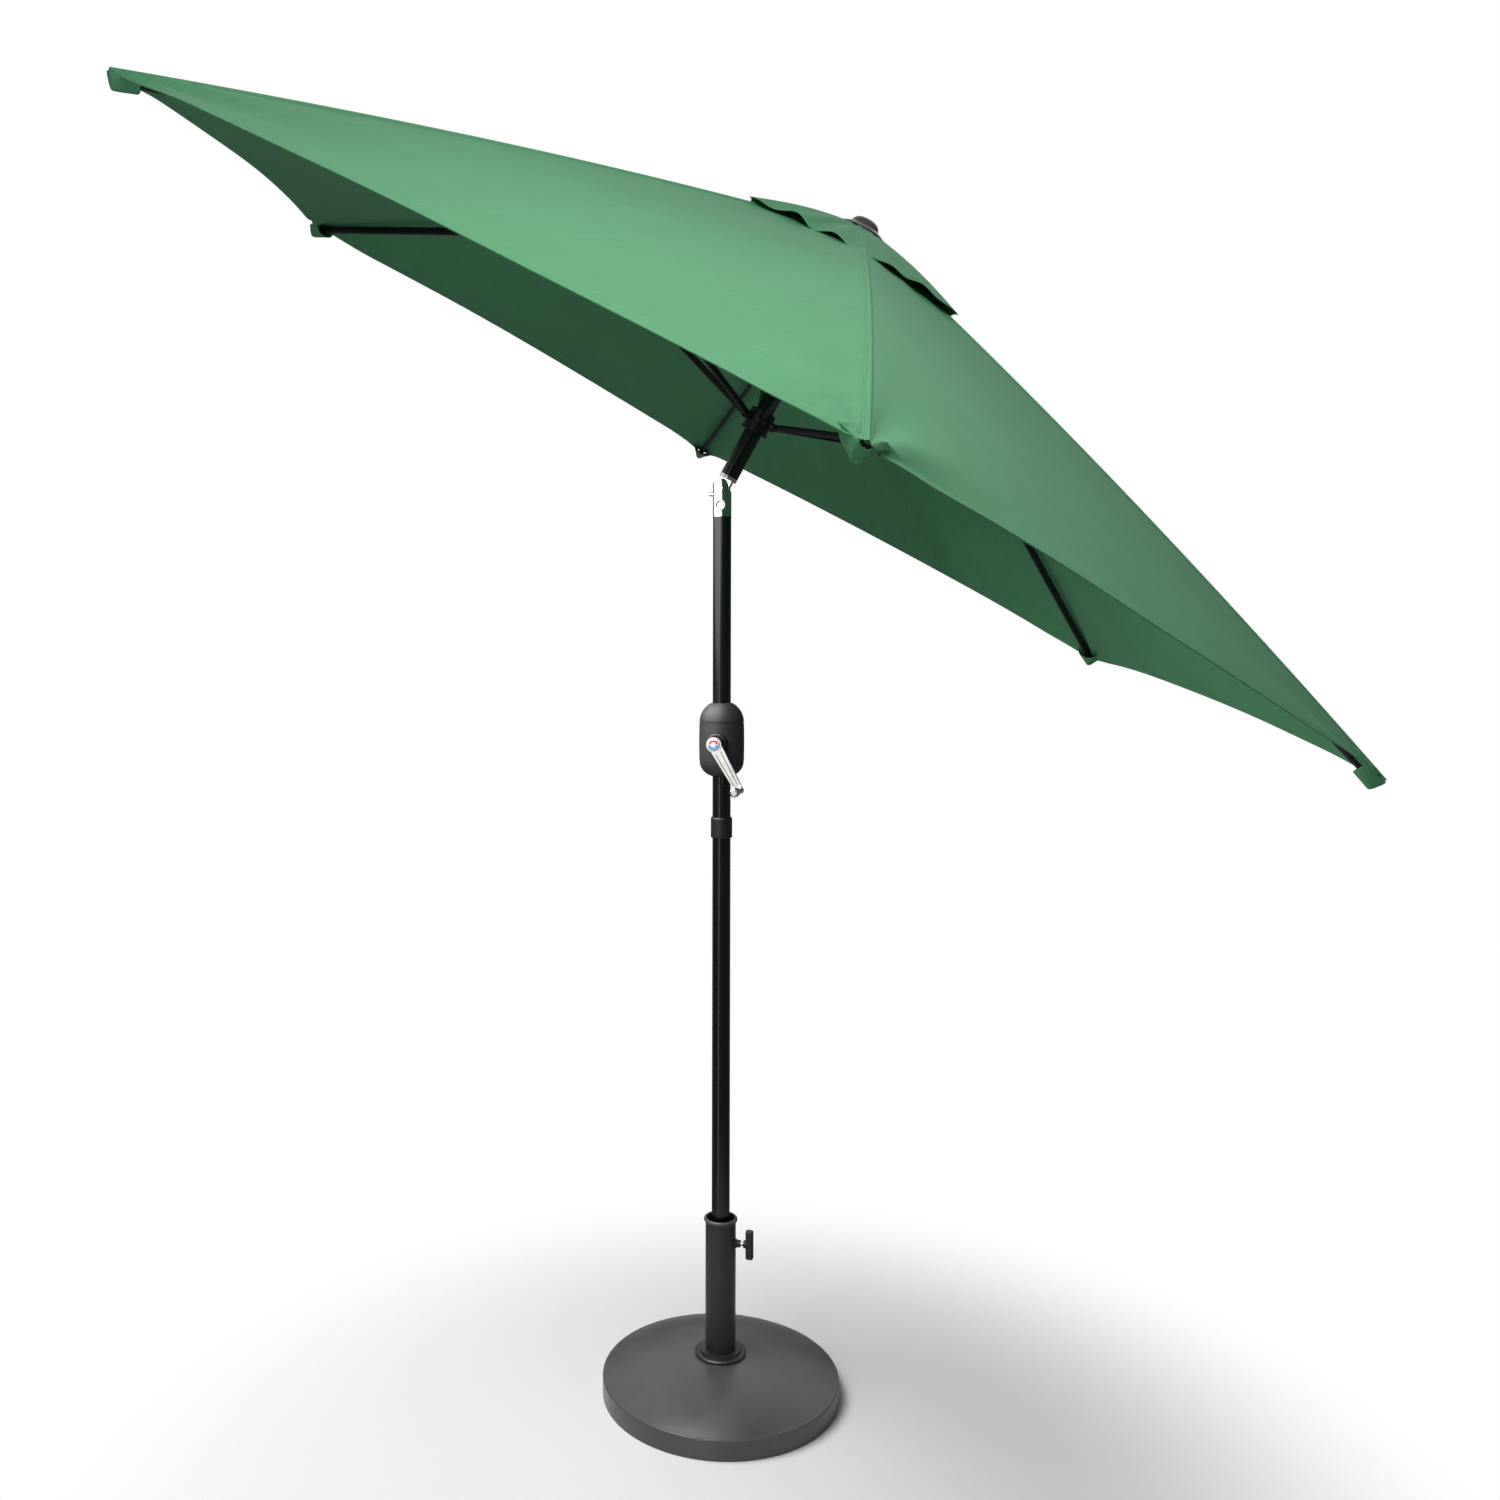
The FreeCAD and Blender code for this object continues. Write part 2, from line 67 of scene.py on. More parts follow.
class Value:
    """One socket inside a finish. Sums, products and comparisons of values add Math nodes."""

    def __init__(self, bench, socket):
        self.bench = bench
        self.socket = socket

    def maths(self, operation, *terms):
        return self.bench.node("ShaderNodeMath", {"operation": operation}, dict(enumerate(terms)))

    def __add__(self, other):
        return self.maths("ADD", self, other)

    def __radd__(self, other):
        return self.maths("ADD", other, self)

    def __sub__(self, other):
        return self.maths("SUBTRACT", self, other)

    def __rsub__(self, other):
        return self.maths("SUBTRACT", other, self)

    def __mul__(self, other):
        return self.maths("MULTIPLY", self, other)

    def __rmul__(self, other):
        return self.maths("MULTIPLY", other, self)

    def __pow__(self, other):
        return self.maths("POWER", self, other)

    def __lt__(self, other):
        return self.maths("LESS_THAN", self, other)

    def __gt__(self, other):
        return self.maths("GREATER_THAN", self, other)

    def wave(self, length):
        """A sine along this value that repeats every length."""
        return self.maths("SINE", self * (2 * math.pi / length))

    def size(self):
        return self.maths("ABSOLUTE", self)

    def rise(self, low, high):
        """0 below low and 1 above high, with a soft step between them."""
        return self.bench.node("ShaderNodeMapRange", {"interpolation_type": "SMOOTHSTEP"},
                               {"Value": self, "From Min": low, "From Max": high})


class Bench:
    """A node tree and the one way that nodes are added to it."""

    def __init__(self, tree):
        self.tree = tree

    def node(self, kind, settings=(), inputs=(), output=0):
        made = self.tree.nodes.new(kind)
        for name, value in dict(settings).items():
            if name == "stops":
                while len(made.color_ramp.elements) < len(value):
                    made.color_ramp.elements.new(0.5)
                for element, (place, tint) in zip(made.color_ramp.elements, value):
                    element.position = place
                    element.color = (*tint, 1)
            else:
                setattr(made, name, value)
        for name, value in dict(inputs).items():
            self.feed(made.inputs[name], value)
        return Value(self, made.outputs[output])

    def feed(self, socket, value):
        if isinstance(value, Value):
            self.tree.links.new(value.socket, socket)
        elif isinstance(value, tuple) and socket.type == "RGBA":
            socket.default_value = (*value, 1)
        else:
            socket.default_value = value

    def blend(self, share, first, second):
        """From the first colour to the second as share goes from 0 to 1."""
        return self.node("ShaderNodeMix", {"data_type": "RGBA"}, {0: share, 6: first, 7: second}, 2)

    def axis(self, place, letter):
        return self.node("ShaderNodeSeparateXYZ", (), {0: place}, "XYZ".index(letter))

    def stretched(self, place, x=1, y=1, z=1):
        return self.node("ShaderNodeVectorMath", {"operation": "MULTIPLY"},
                         {0: place, 1: (x, y, z)})

    def speckle(self, place, per_metre, detail=2.0, roughness=0.5):
        """Soft random values from 0 to 1, about so many blotches to the metre."""
        return self.node("ShaderNodeTexNoise", (), {
            "Vector": place, "Scale": per_metre, "Detail": detail, "Roughness": roughness})


class Finish(Bench):
    """A material. What is the same all over the piece is set straight on its shader."""

    def __init__(self, name, tint, roughness, **plain):
        self.material = bpy.data.materials.new(name)
        self.material.use_nodes = True
        super().__init__(self.material.node_tree)
        self.shader = self.tree.nodes["Principled BSDF"]
        self.set("Base Color", tint)
        self.set("Roughness", roughness)
        for socket, value in plain.items():
            self.set(socket.replace("_", " "), value)
        self.place = self.node("ShaderNodeTexCoord", output=3)
        self.relief = None

    def set(self, socket, value):
        self.feed(self.shader.inputs[socket], value)

    def raise_by(self, height, depth, strength=1.0):
        """Relief: height is 0 to 1, and depth is how deep that is in metres."""
        inputs = {"Height": height, "Distance": depth, "Strength": strength}
        if self.relief:
            inputs["Normal"] = self.relief
        self.relief = self.node("ShaderNodeBump", (), inputs)
        self.set("Normal", self.relief)

    def clad(self, *names):
        """Puts this finish on CAD pieces."""
        for name in names:
            for held in frame["nodes"][name].material_slots:
                held.material = self.material


def satin_skin(name, dark, light, roughness, pebbles, depth):
    """Charcoal plastic or powder paint: a fine pebbled skin, with smoother and duller patches."""
    skin = Finish(name, dark, roughness, Specular_IOR_Level=0.45)
    patches = skin.speckle(skin.place, 7, 4, 0.6)
    grain = skin.speckle(skin.place, pebbles, 2)
    skin.set("Base Color", skin.blend(patches.rise(0.3, 0.75) * 0.7 + grain * 0.3, dark, light))
    skin.set("Roughness", patches.rise(0.25, 0.8) * 0.12 + grain * 0.06 + (roughness - 0.08))
    skin.raise_by(grain, depth, 0.5)
    return skin


base_skin = satin_skin("base_shell", colour(68, 68, 67), colour(86, 86, 84), 0.33, 520, 0.00012)
base_skin.clad("base_cover")

concrete = Finish("concrete", colour(140, 137, 130), 0.9)
stones = concrete.speckle(concrete.place, 60, 6, 0.7)
concrete.set("Base Color", concrete.blend(stones, colour(112, 109, 103), colour(163, 160, 152)))
concrete.raise_by(stones, 0.0015)
concrete.clad("base_ballast")

# ---- Stem ----
# A painted steel tube welded to a two-step moulded flange. A rolled ring finishes its mouth,
# and a plastic bush and foot cup inside it hold the pole upright.
stem_paint = satin_skin("stem_paint", colour(32, 33, 34), colour(41, 42, 43), 0.42, 900, 0.00006)
stem_paint.clad("stem_flange", "stem_tube")
rim_paint = satin_skin("stem_rim_paint", colour(62, 63, 64), colour(78, 79, 80),
                       0.36, 900, 0.00005)
rim_paint.clad("stem_rim")

black_plastic = satin_skin("black_plastic", colour(17, 17, 18), colour(26, 26, 27),
                           0.42, 1100, 0.00005)
black_plastic.clad("stem_bush", "stem_foot")

# ---- Clamp screw ----
# A zinc-plated stud runs through a threaded boss on the stem. The T-bar knob moulded on its
# end turns it in against the pole, which holds the pole still.
zinc = Finish("zinc_plate", colour(176, 176, 172), 0.3, Metallic=1.0)
smudges = zinc.speckle(zinc.place, 90, 4, 0.6)
zinc.set("Roughness", smudges * 0.25 + 0.2)
zinc.set("Base Color", zinc.blend(smudges, colour(150, 150, 146), colour(196, 196, 190)))
zinc.clad("clamp_stud")
black_plastic.clad("clamp_boss", "clamp_knob")

# ---- Poles ----
# Two 38 mm steel tubes in gloss black powder paint. The upper one stands on the lower one at
# a plastic collar, and slides out of it for lifting.
pole_paint = Finish("pole_paint", colour(10, 10, 11), 0.2, Specular_IOR_Level=0.5)
peel = pole_paint.speckle(pole_paint.place, 260, 2)
rubbed = pole_paint.speckle(pole_paint.stretched(pole_paint.place, 60, 60, 3), 1, 5, 0.6)
pole_paint.set("Base Color", pole_paint.blend(
    rubbed.rise(0.55, 0.9), colour(9, 9, 10), colour(22, 22, 23)))
pole_paint.set("Roughness", rubbed * 0.14 + 0.14)
pole_paint.raise_by(peel, 0.00003, 0.4)
pole_paint.clad("lower_pole", "upper_pole")
black_plastic.clad("pole_collar")

# ---- Crank housing ----
# Two moulded halves in charcoal plastic with a leather-like grain, closed by three screws
# round the pole. The crank shaft comes out through a round boss.
housing_grain = Finish("housing_plastic", colour(40, 41, 42), 0.5, Specular_IOR_Level=0.4)
cells = housing_grain.node("ShaderNodeTexVoronoi", {"feature": "SMOOTH_F1"}, {
    "Vector": housing_grain.place, "Scale": 620, "Smoothness": 0.6})
worn = housing_grain.speckle(housing_grain.place, 24, 4, 0.6)
housing_grain.set("Base Color", housing_grain.blend(
    worn * 0.7 + cells * 0.4, colour(33, 34, 35), colour(52, 53, 54)))
housing_grain.set("Roughness", worn * 0.16 + 0.4)
housing_grain.raise_by(cells, 0.00022, 0.6)
housing_grain.clad("housing_left", "housing_right")
black_plastic.clad("crank_bezel")
zinc.clad("housing_screws")

# ---- Crank ----
# A die-cast chromed arm with two long slots and a fluted middle, a silver cap with a plain
# two-colour ring over its screw, and a small chromed handle that spins on its pin.
chrome = Finish("chrome", colour(214, 212, 208), 0.1, Metallic=1.0)
haze = chrome.speckle(chrome.place, 45, 4, 0.6)
chrome.set("Roughness", haze.rise(0.35, 0.8) * 0.12 + 0.06)
chrome.raise_by(chrome.speckle(chrome.place, 130, 1), 0.00004, 0.5)
chrome.clad("crank_arm", "crank_knob")
zinc.clad("crank_shaft")

cap_face = Finish("cap_plastic", colour(214, 216, 218), 0.25, Metallic=0.35, Coat_Weight=0.4)
cap_low, cap_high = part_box("crank_cap")
cap_centre = (cap_low + cap_high) / 2
ring_inside, ring_outside, ring_edge = 0.0058, 0.0100, 0.0002
ring_split = 0.0010          # half of the plain gap between the two colours
cap_x = cap_face.axis(cap_face.place, "X") - cap_centre.x
cap_z = cap_face.axis(cap_face.place, "Z") - cap_centre.z
cap_radius = (cap_x * cap_x + cap_z * cap_z) ** 0.5
ring_band = (cap_radius.rise(ring_inside - ring_edge, ring_inside + ring_edge)
             * (1 - cap_radius.rise(ring_outside - ring_edge, ring_outside + ring_edge)))
upper_half = cap_z.rise(ring_split - ring_edge, ring_split + ring_edge)
lower_half = 1 - cap_z.rise(-ring_split - ring_edge, -ring_split + ring_edge)
printed = cap_face.blend(ring_band * upper_half, colour(214, 216, 218), colour(196, 62, 58))
printed = cap_face.blend(ring_band * lower_half, printed, colour(46, 122, 186))
cap_face.set("Base Color", printed)
cap_face.set("Metallic", 0.4 - ring_band * 0.4)
cap_face.set("Roughness", cap_face.speckle(cap_face.place, 200, 3) * 0.15 + 0.2)
cap_face.clad("crank_cap")

# ---- Tilt knuckle ----
# A chromed steel sleeve on the upper pole, with two cheeks that hold the mast's tongue on a
# pin. A push button frees the tongue for tilting, and a cross-head screw closes its ring.
chrome.clad("knuckle_sleeve", "knuckle_ring", "knuckle_screw", "tilt_pin", "tilt_button",
            "knuckle_yoke")

# ---- Mast, crown hub and runner ----
# The mast is the pole's last length, above the knuckle. A moulded hub on its top holds the six
# ribs, and a moulded runner that slides on it holds the stretchers, all on zinc-plated pins.
pole_paint.clad("mast_tube")
black_plastic.clad("crown_hub", "runner_body")
zinc.clad("crown_pins", "runner_pins")

# ---- Ribs and stretchers ----
# Six oval steel ribs, each with a flat tongue in the crown hub, a riveted saddle for its
# stretcher and a plastic tip cap. All of it is painted the same soft black.
rib_paint = Finish("rib_paint", colour(17, 17, 18), 0.34, Specular_IOR_Level=0.5)
dust = rib_paint.speckle(rib_paint.place, 30, 5, 0.65)
rib_paint.set("Base Color", rib_paint.blend(
    dust.rise(0.45, 0.85), colour(13, 13, 14), colour(38, 38, 37)))
rib_paint.set("Roughness", dust * 0.25 + 0.24)
rib_paint.raise_by(rib_paint.speckle(rib_paint.place, 400, 2), 0.00003, 0.4)
for number in range(1, 7):
    rib_paint.clad("rib_%d" % number, "rib_fittings_%d" % number, "stretcher_%d" % number)

# ---- Canopy ----
# Six panels of green polyester, joined by lapped seams that lie on the ribs. The cloth is
# taut from the crown to the rib tips, sags a little between them, and its hem curves inward.
joints = {joint["name"]: joint for joint in frame["joints"]}
pivot = Vector(joints["canopy_tilt"]["pos_m"])
lean = math.radians(-joints["canopy_tilt"]["range_deg"][0])
upright_to_leaning = Matrix.Translation(pivot) @ Matrix.Rotation(lean, 4, "Y")
rib_bearings = []
for number in range(1, 7):
    hinge = Matrix.Rotation(-lean, 3, "Y") @ Vector(joints["rib_%d_hinge" % number]["axis"])
    rib_bearings.append(math.atan2(-hinge.x, hinge.y))

rib_fall = math.tan(math.radians(20.1))
cloth_apex = 0.5790          # where the seams' lines would meet, along the mast from the tilt pin
crown_edge = 0.064           # from the mast's axis to the panels' top edges
hem_corner = 1.3261          # from the mast's axis to the hem's corners
panel_length = (hem_corner - crown_edge) * 0.94
scallop = 0.045              # how far the hem curves in between two corners
rib_bow = 0.016              # how far a seam bows up over its rib
sag = 0.015                  # how far a panel's middle hangs below its seams
hem_width = 0.016
hem_lip = 0.0016
half_thickness = 0.00035
hem_fold = 0.0006            # how much the folded hem adds to each face
sewn_thickness = 0.0009      # of the small pieces, with their hems


def leaning(points):
    """Points from the upright canopy's own frame to the whole umbrella's."""
    turn = np.array(upright_to_leaning.to_3x3())
    return points @ turn.T + np.array(upright_to_leaning.translation)


def seam_point(bearing, along):
    """The seam over a rib, at along 0 at the crown to 1 at the tip."""
    radius = crown_edge + (hem_corner - crown_edge) * along
    height = cloth_apex - rib_fall * radius + rib_bow * 4 * along * (1 - along)
    return np.stack([radius * math.cos(bearing), radius * math.sin(bearing), height], -1)


def soft_step(value, low, high):
    share = np.clip((value - low) / (high - low), 0, 1)
    return share * share * (3 - 2 * share)


def panel(number, across, along):
    """The cloth between rib number and the next. across is 0 to 1 from seam to seam and
    along is 0 to 1 from the crown to the hem. Returns its points, upright."""
    first, second = rib_bearings[number % 6], rib_bearings[(number + 1) % 6]
    corners = [seam_point(b, np.array(1.0)) for b in (first, second)]
    flat_top, flat_end = (seam_point(b, np.array(0.0)) for b in (first, second))
    normal = np.cross(corners[0] - flat_top, corners[1] - flat_top)
    normal /= np.linalg.norm(normal)
    middle = across * (1 - across) * 4
    length = np.linalg.norm((corners[0] + corners[1]) / 2 - (flat_top + flat_end) / 2)
    reach = along * (1 - scallop * middle / length)
    near, far = seam_point(first, reach), seam_point(second, reach)
    points = near * (1 - across)[..., None] + far * across[..., None]
    lift = -sag * middle * (along ** 1.3) * (1 - 0.5 * along ** 4)
    for side, corner in enumerate(corners):
        crown = (flat_top, flat_end)[side]
        spoke = (crown - corner) / np.linalg.norm(crown - corner)
        across_way = np.cross(spoke, normal) * (1 if side == 0 else -1)
        offset = points - corner
        out, side_way = offset @ spoke, offset @ across_way
        distance = np.hypot(out, side_way)
        angle = np.abs(np.arctan2(side_way, out))
        held = soft_step(angle, 0.0, 0.22)
        phase = 1.7 * number + 2.3 * side
        # Wrinkles fan out from the corner where the rib's tip pulls: short ones, then long ones.
        lift += (0.0100 * held * np.exp(-distance / 0.085) * soft_step(distance, 0.004, 0.04)
                 * np.sin(angle * 10 + phase))
        lift += (0.0070 * held * np.exp(-distance / 0.25) * soft_step(distance, 0.04, 0.16)
                 * np.sin(angle * 7.5 + phase * 1.9))
    way = across * 9 + number * 1.3
    lift += 0.0011 * middle * np.sin(way * 1.9 + along * 3.1) * np.exp(-along * 1.6)
    lift += 0.0009 * middle * np.sin(way * 1.1 - along * 8.3 + 0.7) * along
    return points + normal * lift[..., None]


def spacing(width):
    """Columns from a seam to the middle of its panel, closer together near the seam."""
    beside_seam = [0, 0.003, 0.007, 0.013, 0.021, 0.032]
    return np.concatenate([beside_seam, np.linspace(0.046, 0.5, width)])


def rows(count):
    """Rows from the crown to the hem. The last ones follow the hem's fold."""
    fold = hem_width / panel_length
    evenly = np.linspace(0, 1 - fold * 1.12, count)
    last = [1 - fold * 1.03, 1 - fold, 1 - fold * 0.5, 1 - hem_lip / panel_length, 1.0]
    return np.concatenate([evenly, last])


def surface_normals(points):
    """Normals of a grid of points, columns first."""
    sideways = np.gradient(points, axis=0)
    outward = np.gradient(points, axis=1)
    normals = np.cross(outward, sideways)
    return normals / np.maximum(np.linalg.norm(normals, axis=-1, keepdims=True), 1e-12)


def half_panel(number, side):
    """Half of a panel, from its seam on rib number to its middle. side is 1 for the panel
    that begins at the rib and -1 for the one that ends there. Returns its points, their
    normals, their places on the flat cloth, and how far they are from the seam and the hem."""
    columns = spacing(30)
    whole = np.concatenate([columns, (1 - columns[:-1])[::-1]])
    along = rows(62)
    grid_across, grid_along = np.meshgrid(whole, along, indexing="ij")
    owner = number if side == 1 else (number + 5) % 6
    points = leaning(panel(owner, grid_across, grid_along))
    normals = surface_normals(points)
    if normals[..., 2].mean() < 0:
        normals = -normals
    start, end = points[0, 0], points[-1, 0]
    level = (end - start) / np.linalg.norm(end - start)
    down = (points[len(whole) // 2, -1] - (start + end) / 2)
    down /= np.linalg.norm(down)
    flat = points - (start + end) / 2
    chart = np.stack([flat @ level, flat @ down], -1)
    hem_gap = (1 - grid_along) * panel_length
    if side == -1:
        points, normals, chart = points[::-1], normals[::-1], chart[::-1]
        hem_gap = hem_gap[::-1]
    keep = len(columns)
    rib_line = points[0, -1] - points[0, 0]
    rib_line /= np.linalg.norm(rib_line)
    from_seam = points[:keep] - points[0:1, 0:1]
    seam_gap = np.linalg.norm(np.cross(from_seam, rib_line), axis=-1)
    return points[:keep], normals[:keep], chart[:keep], seam_gap, hem_gap[:keep]


class Sewing:
    """What the cloth's finish needs at each corner of each face: its place on the flat cloth,
    how far it is from a seam and from the hem, and, for a panel, which way it faces."""

    def __init__(self):
        self.chart, self.seam_gap, self.hem_gap, self.normals = [], [], [], []

    def add(self, chart, seam_gap, hem_gap):
        self.chart.append(chart)
        self.seam_gap.append(seam_gap)
        self.hem_gap.append(hem_gap)


def sew(name, points, faces, sewing, body):
    """A new smooth piece of the green cloth, riding on a body."""
    mesh = bpy.data.meshes.new(name)
    mesh.from_pydata([tuple(map(float, p)) for p in points], [], faces)
    mesh.polygons.foreach_set("use_smooth", [True] * len(mesh.polygons))
    mesh.materials.append(cloth.material)
    chart = mesh.uv_layers.new(name="cloth")
    chart.data.foreach_set("uv", np.array(sewing.chart, np.float32).ravel())
    if sewing.normals:
        mesh.normals_split_custom_set([tuple(map(float, n)) for n in sewing.normals])
    for title, values in (("seam_gap", sewing.seam_gap), ("hem_gap", sewing.hem_gap)):
        held = mesh.attributes.new(title, "FLOAT", "CORNER")
        held.data.foreach_set("value", np.array(values, np.float32))
    made = bpy.data.objects.new(name, mesh)
    bpy.context.scene.collection.objects.link(made)
    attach(made, body)
    return made


def thicken(piece):
    doubled = piece.modifiers.new("cloth", "SOLIDIFY")
    doubled.thickness = sewn_thickness
    doubled.offset = 0


def square(column, row):
    """The corners of one small square of a grid."""
    return [(column, row), (column + 1, row), (column + 1, row + 1), (column, row + 1)]


def facing(ring, grid, outward):
    """The square's corners in the order that makes its face look outward."""
    first, second, third = (grid[p] for p in ring[:3])
    return ring[::-1] if np.dot(np.cross(second - first, third - first), outward) < 0 else ring


# The cloth: a fine plain weave with slubs along it, a soft sheen, darker thread in the rows
# of stitches beside the seams and along the folded hem, and faint creases from packing.
cloth = Finish("green_fabric", colour(88, 160, 112), 0.62, Sheen_Weight=0.06, Sheen_Roughness=0.45,
               Sheen_Tint=(0.75, 1.0, 0.85), Specular_IOR_Level=0.3)
chart_place = cloth.node("ShaderNodeUVMap", {"uv_map": "cloth"})
weft, warp = cloth.axis(chart_place, "X"), cloth.axis(chart_place, "Y")
seam_gap = cloth.node("ShaderNodeAttribute", {"attribute_name": "seam_gap"}, (), 2)
hem_gap = cloth.node("ShaderNodeAttribute", {"attribute_name": "hem_gap"}, (), 2)
thread = 0.0011
stitch = 0.0034              # one stitch and the gap after it
seam_stitches, hem_stitches = 0.0048, 0.0135
weave = weft.wave(thread) * warp.wave(thread) * 0.5 + 0.5
slubs = cloth.speckle(cloth.stretched(chart_place, 420, 5), 1, 3, 0.6)
cross_slubs = cloth.speckle(cloth.stretched(chart_place, 5, 420), 1, 3, 0.6)
clouds = cloth.speckle(cloth.place, 2.6, 4, 0.6)
creases = cloth.speckle(cloth.stretched(chart_place, 13, 4.2), 1, 5, 0.62)
seam_row = ((seam_gap - seam_stitches).size() < 0.00045) * (warp.wave(stitch) > -0.55)
hem_row = ((hem_gap - hem_stitches).size() < 0.0005) * (weft.wave(stitch) > -0.55)
stitches = seam_row.maths("MAXIMUM", seam_row, hem_row)
dyed = cloth.blend(clouds.rise(0.3, 0.75), colour(78, 150, 103), colour(88, 162, 115))
slub_marks = slubs.rise(0.35, 0.8) * 0.35 + cross_slubs.rise(0.35, 0.8) * 0.25
dyed = cloth.blend(slub_marks, dyed, colour(112, 178, 132))
dyed = cloth.blend(weave * 0.14, dyed, colour(54, 118, 76))
dyed = cloth.blend(stitches * 0.6, dyed, colour(38, 96, 60))
cloth.set("Base Color", dyed)
cloth.set("Roughness", clouds * 0.1 + slubs * 0.08 + 0.52)
cloth.raise_by(creases, 0.006, 0.35)
cloth.raise_by(weave, 0.00012, 0.35)
cloth.raise_by(1 - stitches, 0.0004, 0.6)

# Lapped seams: both panels' edges are folded into each other and stitched twice. A seam's
# section, in metres to each side of the rib and above the cloth:
seam_offsets = (-0.0080, -0.0073, -0.0050, -0.0025, 0, 0.0015, 0.0030, 0.0055, 0.0072)
seam_heights = (0.0001, 0.0019, 0.0016, 0.0020, 0.0031, 0.0026, 0.0009, 0.0007, 0.0001)
seam_steps = 240
pucker_depth, pucker_pitch = 0.00014, 0.011

# Pockets: a short sling of the same cloth under each corner of the hem holds the rib's tip.
pocket_backs = (0.0, 0.0015, 0.0032, 0.0055, 0.009, 0.016, 0.027, 0.044)
pocket_columns = 17
pocket_drop = 0.0272
pocket_front = 0.003

